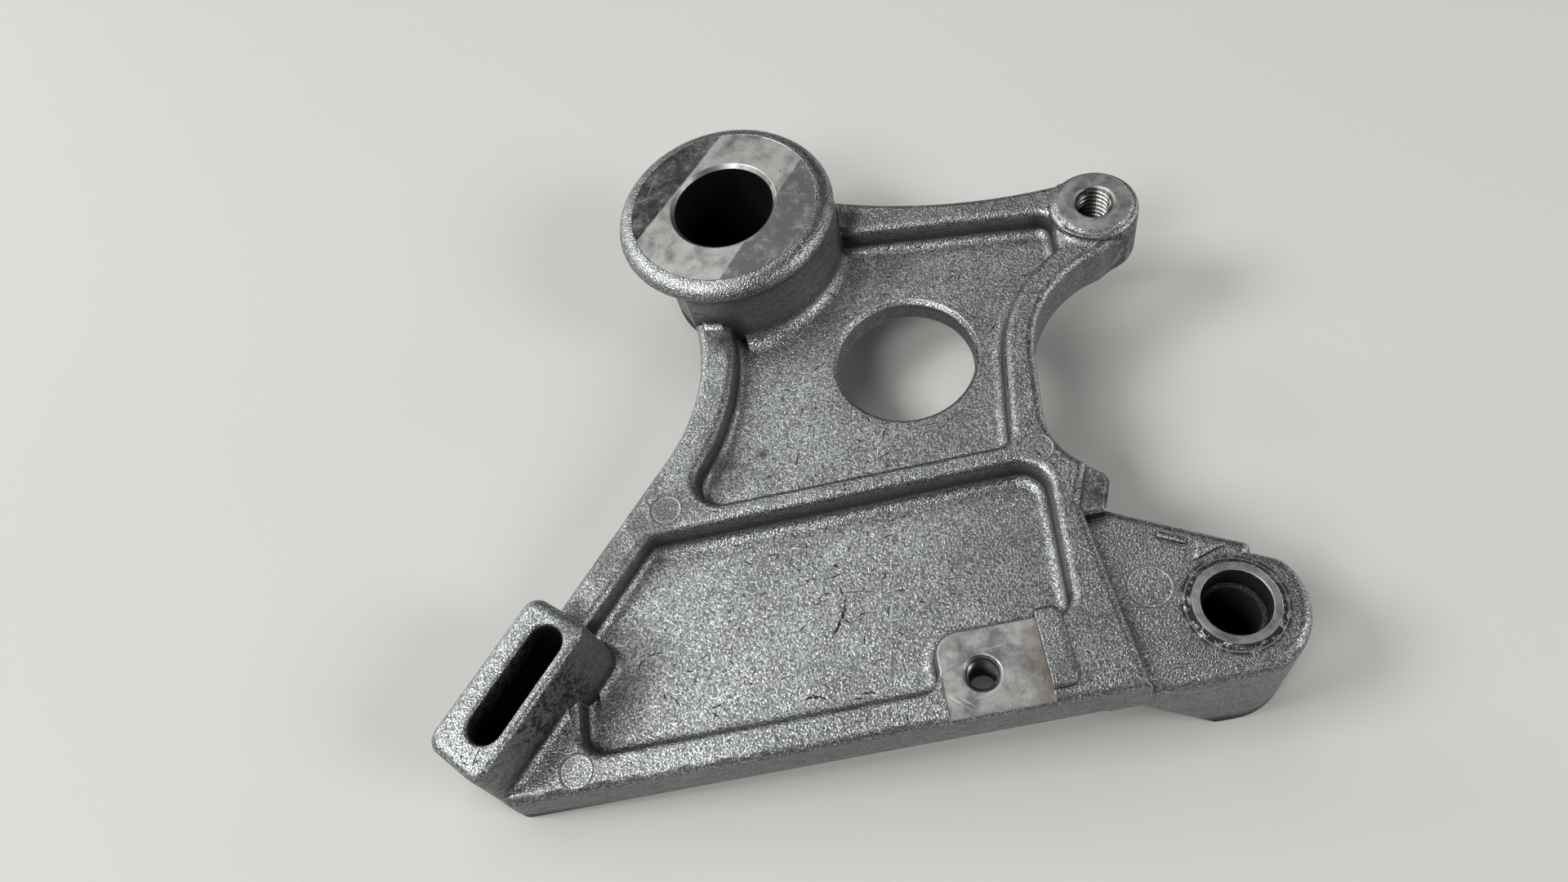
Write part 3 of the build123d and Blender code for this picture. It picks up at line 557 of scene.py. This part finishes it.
# %% The stains and the nub's painted shade: place, radius in millimetres and strength
STAINS_AND_NUB_SHADE = (
    # The first, on the nub of the arm, is painted shade.
    ((62.3, -79.0), 3.8, 0.95), ((26.4, -1.5), 2.6, 0.8), ((24.9, -5.5), 2.2, 0.85),
    ((-5.2, -27.5), 2.4, 0.9), ((-41.5, -83.5), 2.6, 0.6), ((-39.5, -91.0), 2.6, 0.4),
    ((-9.5, -56.0), 4.0, 0.7), ((-1.3, -53.8), 1.0, 0.75), ((-24.0, -67.0), 9.0, 0.5),
    ((-34.0, -72.0), 6.0, 0.5), ((35.0, -45.0), 14.0, 0.22), ((45.0, -88.0), 12.0, 0.22),
    ((76.0, -21.5), 4.0, 0.45), ((34.0, -13.0), 4.5, 0.4), ((24.5, -12.5), 4.0, 0.5),
    ((46.6, -112.0), 3.0, 0.55), ((52.5, -104.0), 4.0, 0.35), ((-35.0, -97.0), 5.0, 0.3),
)
print(len(STAINS_AND_NUB_SHADE), "stains lie on the top")

# %% Masks of the nicks, specks, stains and the nub's painted shade
off_wall = outside(tree, wall)
drawn = [mark(tree, place, ragged, *one) for one in STROKES]
drawn = both(tree, either(tree, *drawn), off_wall)
stains_and_nub_shade = [faint(tree, disc(tree, place, centre, radius, 1.6 * radius), strength)
          for centre, radius, strength in STAINS_AND_NUB_SHADE]
stains_and_nub_shade = both(tree, either(tree, *stains_and_nub_shade), ramp(tree, stain, 0.30, 0.52))
fine_nicks = use_group(tree, hair_scratches, {
    "Place": place, "Cells per metre": 260.0, "Length": 3.2 * MM, "Width": 0.15 * MM,
    "Share": 0.4, "Turn": 0.4, "Spread": 6.3})["Mask"]
handled = noise(tree, place, 42.0, 2.0)
nicks = both(tree, fine_nicks, off_wall, ramp(tree, handled, 0.44, 0.52),
             ramp(tree, blotch, 0.36, 0.46))
specks = ramp(tree, noise(tree, place, 1150.0, 2.0), 0.64, 0.72, 0.0, 0.8)
specks = both(tree, specks, ramp(tree, handled, 0.42, 0.6, 0.2, 1.0))
print("the material now has", len(tree.nodes), "nodes")

# %% [markdown]
# ## Dirt, painted shade and painted highlights by the shapes
# Dirt also follows the shapes: the round along the front edge is mottled, each ejector mark has a
# dark ring of dirt and painted shade with a painted highlight inside it, crumbs lie round the pin
# boss, and thin lines of painted shade lie at the foot of the bar that is raised further down and,
# with some dirt, at the foot of the lobe's step.

# %% Masks of the front round, the rings, the collar and the feet
front_round = both(tree, ramp(tree, y, -113.5 * MM, -115.5 * MM), ramp(tree, facing, 0.35, 0.6),
                   ramp(tree, facing, 1.0, 0.9), ramp(tree, stain, 0.40, 0.60, 0.1, 0.75))
EJECTOR_MARKS = (((-21.5, -65.3), 3.0), ((52.4, -68.2), 3.0), ((-42.3, -114.0), 3.0),
                 ((65.7, -98.4), 4.0))
on_top = ramp(tree, facing, 0.8, 0.95)
# Each ejector mark gets a dark ring of dirt and painted shade just outside its rim.
ring_dirt_and_shade = [ring_line(tree, place, centre, radius + 0.16, 0.26) for centre, radius in EJECTOR_MARKS]
ring_dirt_and_shade = both(tree, either(tree, *ring_dirt_and_shade), ramp(tree, blotch, 0.34, 0.5, 0.25, 0.9), on_top)
# Each ejector mark also gets a painted highlight just inside its rim.
ring_highlights = [ring_line(tree, place, centre, radius - 0.14, 0.2)
                for centre, radius in EJECTOR_MARKS]
ring_highlights = both(tree, either(tree, *ring_highlights), on_top)
COLLAR_R = 9.8
collar = both(tree, disc(tree, place, PIN, COLLAR_R, 1.2),
              outside(tree, disc(tree, place, PIN, RING_R, 0.2)),
              ramp(tree, blotch, 0.41, 0.51), off_wall)
BAR, BAR_TURN = (72.05, -90.1), math.radians(-28.1)
# Painted shade round the foot of the raised bar.
bar_foot_shade = calc(tree, "SUBTRACT", disc(tree, place, BAR, 1.1, 0.3, 2.0, BAR_TURN),
                disc(tree, place, BAR, 0.55, 0.2, 2.0, BAR_TURN))
# Painted shade, with some dirt, along the foot of the lobe's step.
step_shade_and_dirt = either(tree, mark(tree, place, ragged, (57.6, -80.5), (59.9, -100.0), 1.0, 0.2),
                   mark(tree, place, ragged, (59.0, -97.0), (61.4, -116.0), 1.0, 0.1))
print(len(EJECTOR_MARKS), "ejector marks are ringed")

# %% Lay the grime and painted shade over the metal, then the bare edges and painted highlights, then the bores' black and painted shade
# The dirt masks, with painted shade at the ejector rings, round the bar and along the step.
cast_dirt_and_shade = either(tree, wall_grime_and_shade, drawn, stains_and_nub_shade, nicks, specks, front_round, ring_dirt_and_shade, collar,
                   faint(tree, bar_foot_shade, 0.8), faint(tree, step_shade_and_dirt, 0.4))
tapped_wall = both(tree, tapped, ramp(tree, facing, 0.5, 0.2))
# Grime and painted shade together: corners, creases, tapped walls, fan stains and the dirt above.
grime_and_shade = either(tree, faint(tree, corner_grime_and_shade, 0.9), faint(tree, crease_grime_and_shade, 0.85),
               faint(tree, tapped_wall, 0.9), fan_stains,
               both(tree, cast_dirt_and_shade, outside(tree, machined)))
colour = mix_color(tree, grime_and_shade, colour, GRIME_AND_SHADE)
# The painted highlights inside the ejector rings join those of the open edges.
rubbed_and_highlit = either(tree, rubbed_and_highlit, faint(tree, ring_highlights, 0.8))
colour = mix_color(tree, faint(tree, rubbed_and_highlit, 0.75), colour, BARE_AND_HIGHLIGHT)
# Painted shade and oil: the bores go nearly black.
colour = mix_color(tree, faint(tree, bores_oil_and_shade, 0.97), colour, OIL_AND_SHADE_BLACK)
print("the material now has", len(tree.nodes), "nodes")

# %% A rust spot and a brown stain on the pad
RUST_SPOT = (42.6, -112.4)
rust = both(tree, disc(tree, place, RUST_SPOT, 1.1, 2.2), ramp(tree, blotch, 0.40, 0.60))
tea_stain = both(tree, pad_face, beyond(tree, place, (40.4, -110.0), (1.0, 0.0), 1.2))
colour = mix_color(tree, faint(tree, tea_stain, 0.35), colour, TEA)
colour = mix_color(tree, rust, colour, RUST)
print("the rust spot lies", round(math.dist(RUST_SPOT, M6), 1), "mm from the M6 hole's axis")

# %% [markdown]
# ## Fine marks on the cut faces
# A cutter and then the clamped parts leave long fine scratches in machined metal. They catch the
# light, so they are lighter than the face, and they run mostly one way.

# %% Scratches on the cut faces
score = use_group(tree, hair_scratches, {
    "Place": place, "Cells per metre": 110.0, "Length": 18 * MM, "Width": 0.07 * MM,
    "Share": 0.8, "Turn": 2.3, "Spread": 1.2})["Mask"]
SCORES = (((24.9, -112.0), (29.0, -116.0), 0.13, 0.2), ((27.0, -113.0), (29.9, -115.7), 0.12, 0.1))
scored = [mark(tree, place, ragged, *one) for one in SCORES]
score = both(tree, either(tree, faint(tree, score, 0.7), *scored), cut_face)
colour = mix_color(tree, faint(tree, score, 0.7), colour, BARE_AND_HIGHLIGHT)
tree.links.new(colour, shader.inputs["Base Color"])
print(len(SCORES), "long scratches lie on the pad")

# %% Metallic, Roughness and the bump
# Grime, painted shade, rust and the bores are dull, so they lower Metallic and raise Roughness.
dirt_and_shade = either(tree, grime_and_shade, rust, bores_oil_and_shade)
tree.links.new(ramp(tree, dirt_and_shade, 0.2, 0.9, 1.0, 0.3), shader.inputs["Metallic"])
clean_rough = add(tree, "Mix", {0: machined, 2: ramp(tree, grain["Tone"], 0.3, 0.7, 0.36, 0.22),
                                3: ramp(tree, worn, 0.3, 0.7, 0.46, 0.36)}).outputs[0]
rough = add(tree, "Mix", {0: dirt_and_shade, 2: clean_rough, 3: 0.75}).outputs[0]
tree.links.new(rough, shader.inputs["Roughness"])
tree.links.new(ramp(tree, bores_oil_and_shade, 0.3, 0.9, 0.5, 0.03), shader.inputs["Specular IOR Level"])

smoothness = either(tree, faint(tree, machined, 0.95), calm)
grain_height = calc(tree, "MULTIPLY", grain["Height"], outside(tree, smoothness))
nick_depth = calc(tree, "MULTIPLY", nicks, -0.5)
bump = add(tree, "Bump", {
    "Strength": 1.0, "Distance": GRAIN_DEPTH * MM,
    "Height": calc(tree, "ADD", grain_height, nick_depth), "Normal": soft_edges})
tree.links.new(bump.outputs[0], shader.inputs["Normal"])

casting.data.materials.clear()
casting.data.materials.append(metal)
print("the casting's material has", len(tree.nodes), "nodes")

# %% [markdown]
# ## Two raised marks on the lobe
# Beside the pin boss the mould has left a short bar and a small three-cornered wedge, both less
# than a millimetre high. The CAD model has a groove and a narrower wedge there, and these two
# stand over them. A few vertices give each one its outline, an extrusion gives it height, and a
# bevel rounds its edges. They're part of the casting, so they take its material.

# %% Raise the two marks
LOBE_Z = 14.5
MARK_SINK = 0.4

def raised_mark(name, outline, height, shrink, round_width):
    """A low raised mark with sloping sides, sunk a little into the top of the lobe."""
    builder = bmesh.new()
    corners = [builder.verts.new((x * MM, y * MM, (LOBE_Z - MARK_SINK) * MM)) for x, y in outline]
    foot = builder.faces.new(corners)
    raised = bmesh.ops.extrude_face_region(builder, geom=[foot], use_keep_orig=True)["geom"]
    top = [part for part in raised if isinstance(part, bmesh.types.BMVert)]
    bmesh.ops.translate(builder, verts=top, vec=(0, 0, (height + MARK_SINK) * MM))
    middle = sum((vert.co for vert in top), Vector()) / len(top)
    bmesh.ops.scale(builder, verts=top, vec=(shrink, shrink, 1),
                    space=Matrix.Translation(-middle))
    rims = [rim for rim in builder.edges if any(vert in top for vert in rim.verts)]
    bmesh.ops.bevel(builder, geom=rims, offset=round_width * MM, offset_type="OFFSET", segments=3,
                    profile=0.5, affect="EDGES", material=-1)
    bmesh.ops.recalc_face_normals(builder, faces=builder.faces)
    for face in builder.faces:
        face.smooth = True
    raised_piece = new_object(name, builder)
    raised_piece.data.materials.append(metal)
    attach(raised_piece, "root")
    print(name, "has", len(raised_piece.data.polygons), "faces")

BAR_OUTLINE = ((69.7, -88.2), (69.3, -89.2), (74.4, -91.9), (74.8, -90.9))
WEDGE_OUTLINE = ((76.5, -90.8), (74.3, -95.6), (81.0, -93.5))
raised_mark("lobe_bar", BAR_OUTLINE, height=0.45, shrink=0.86, round_width=0.16)
raised_mark("lobe_wedge", WEDGE_OUTLINE, height=0.75, shrink=0.72, round_width=0.25)

# %% [markdown]
# ## The threads
# Two holes are tapped: M8 through the arm's boss and M6 through the pad. A thread is one V-shaped
# ridge that climbs the wall of its hole. Spin sweeps a small triangle round the hole's axis and
# lifts it by one pitch each turn, and this gives the ridge its real shape for a few hundred
# faces. The ridge's foot is sunk in the wall, so no gap shows.

# %% Sweep the thread ridges
STEPS_PER_TURN = 40
RIDGE_SINK = 0.06
RIDGE_HALF_FOOT = 0.42

def thread_ridge(name, centre, wall_radius, pitch, depth, low, high):
    """A V-shaped ridge that climbs a hole's wall from one height to another."""
    builder = bmesh.new()
    foot = wall_radius + RIDGE_SINK
    half_foot = RIDGE_HALF_FOOT * pitch
    corners = ((foot, -half_foot), (wall_radius - depth, 0.0), (foot, half_foot))
    profile = [
        builder.verts.new(((centre[0] + reach) * MM, centre[1] * MM, (low + rise) * MM))
        for reach, rise in corners
    ]
    edges = [builder.edges.new((profile[i], profile[i - 1])) for i in range(3)]
    turns = (high - low) / pitch
    steps = round(turns * STEPS_PER_TURN)
    bmesh.ops.spin(
        builder, geom=profile + edges, cent=(centre[0] * MM, centre[1] * MM, 0), axis=(0, 0, 1),
        dvec=(0, 0, (high - low) * MM / steps), angle=turns * math.tau, steps=steps,
        use_merge=False, use_normal_flip=False, use_duplicate=False,
    )
    bmesh.ops.holes_fill(builder, edges=[e for e in builder.edges if e.is_boundary])
    bmesh.ops.recalc_face_normals(builder, faces=builder.faces)
    ridge = new_object(name, builder)
    print(name, "has", len(ridge.data.polygons), "faces in", round(turns, 1), "turns")
    return ridge

THREADS = {
    "m8_thread": {"centre": M8, "wall_radius": 4.0, "pitch": 1.25, "depth": 0.6,
                  "low": 9.3, "high": 20.9},
    "m6_thread": {"centre": M6, "wall_radius": 3.0, "pitch": 1.0, "depth": 0.42,
                  "low": 9.3, "high": 18.2},
}
ridges = [thread_ridge(name, **sizes) for name, sizes in THREADS.items()]

# %% [markdown]
# Screws have kept the crests of the threads clean, and dirt has stayed between them. A crest is
# any place nearer to the hole's axis than the ridge's tip and a bit more.

# %% Material: the threads
CREST = 0.15
THREAD_DARK, THREAD_LIGHT = (0.22, 0.21, 0.20, 1), (0.50, 0.49, 0.47, 1)
tapped_metal, tree, shader, place = new_material("tapped_metal")
mottle = noise(tree, place, 700.0, 4.0)
colour = mix_color(tree, ramp(tree, mottle, 0.35, 0.7), THREAD_DARK, THREAD_LIGHT)
crests = [disc(tree, place, sizes["centre"], sizes["wall_radius"] - sizes["depth"] + CREST, 0.1)
          for sizes in THREADS.values()]
roots = outside(tree, either(tree, *crests))
tree.links.new(mix_color(tree, faint(tree, roots, 0.93), colour, GRIME_AND_SHADE),
               shader.inputs["Base Color"])
tree.links.new(ramp(tree, mottle, 0.3, 0.7, 0.34, 0.24), shader.inputs["Roughness"])
tree.links.new(ramp(tree, roots, 0.0, 1.0, 1.0, 0.4), shader.inputs["Metallic"])
fine_bump = add(tree, "Bump", {"Strength": 0.4, "Distance": 0.05 * MM, "Height": mottle})
tree.links.new(fine_bump.outputs[0], shader.inputs["Normal"])
for ridge in ridges:
    ridge.data.materials.append(tapped_metal)
    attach(ridge, "root")
print(len(ridges), "threads share the material", tapped_metal.name)

# %% [markdown]
# ## The table's surface and the light
# The table is a smooth pale panel with a faint gloss. The room itself is nearly dark, so that the
# metal has something dark to mirror, and seven large soft lamps stand about three metres off. The
# two at the left are the strongest: they make the bright lines along the rounded edges and lay the
# soft shadows to the right. Two more, low and behind, light the walls that the photograph doesn't
# show. The camera alone sees a pale backdrop, because a real room would be pale behind the table.

# %% Table surface
LAMINATE_DARK, LAMINATE_LIGHT = (0.625, 0.645, 0.61, 1), (0.665, 0.68, 0.645, 1)
laminate, tree, shader, place = new_material("pale_laminate")
colour = mix_color(tree, noise(tree, place, 3.0, 2.0), LAMINATE_DARK, LAMINATE_LIGHT)
tree.links.new(colour, shader.inputs["Base Color"])
shader.inputs["Roughness"].default_value = 0.42
shader.inputs["Specular IOR Level"].default_value = 0.3
table.data.materials.append(laminate)
print("the table's square is", 2 * TABLE_REACH, "m across")

# %% Lamps: place in metres, side in metres, power in watts
LAMPS = {
    "lamp_left": ((-2.23, -0.055, 2.68), 1.1, 66.0),
    "lamp_front_left": ((-1.57, -1.65, 2.68), 1.1, 40.0),
    "lamp_right": ((2.87, -1.45, 1.47), 1.4, 38.0),
    "lamp_back": ((-0.20, 1.60, 3.05), 2.2, 22.0),
    "lamp_back_left": ((-2.03, 1.98, 1.96), 1.4, 14.0),
    "lamp_low_back": ((-2.35, 1.95, 0.55), 1.6, 20.0),
    "lamp_low_right": ((3.2, 0.75, 0.35), 1.6, 12.0),
}
TARGET = Vector((15, -55, 10)) * MM
for name, (position, size, watts) in LAMPS.items():
    lamp = bpy.data.objects.new(name, bpy.data.lights.new(name, "AREA"))
    bpy.context.scene.collection.objects.link(lamp)
    lamp.data.shape = "SQUARE"
    lamp.data.size = size
    lamp.data.energy = watts
    lamp.location = position
    lamp.rotation_euler = (TARGET - Vector(position)).to_track_quat("-Z", "Y").to_euler()
print(len(LAMPS), "lamps give", sum(watts for _, _, watts in LAMPS.values()), "W together")

# %% The room: nearly dark to the lamps and the metal, pale to the camera
LOW_ROOM, HIGH_ROOM = (0.06, 0.06, 0.06, 1), (0.04, 0.04, 0.04, 1)
BACKDROP = (0.62, 0.64, 0.61, 1)
sky = bpy.data.worlds.new("pale_room")
sky.use_nodes = True
tree = sky.node_tree
direction = add(tree, "TexCoord").outputs["Generated"]
height = split(tree, direction)[2]
room = mix_color(tree, ramp(tree, height, 0.0, 0.8), LOW_ROOM, HIGH_ROOM)
seen = add(tree, "LightPath").outputs["Is Camera Ray"]
room = mix_color(tree, seen, room, BACKDROP)
tree.links.new(room, tree.nodes["Background"].inputs["Color"])
bpy.context.scene.world = sky
bpy.context.scene.view_settings.view_transform = "Standard"
print("the room is", sky.name)
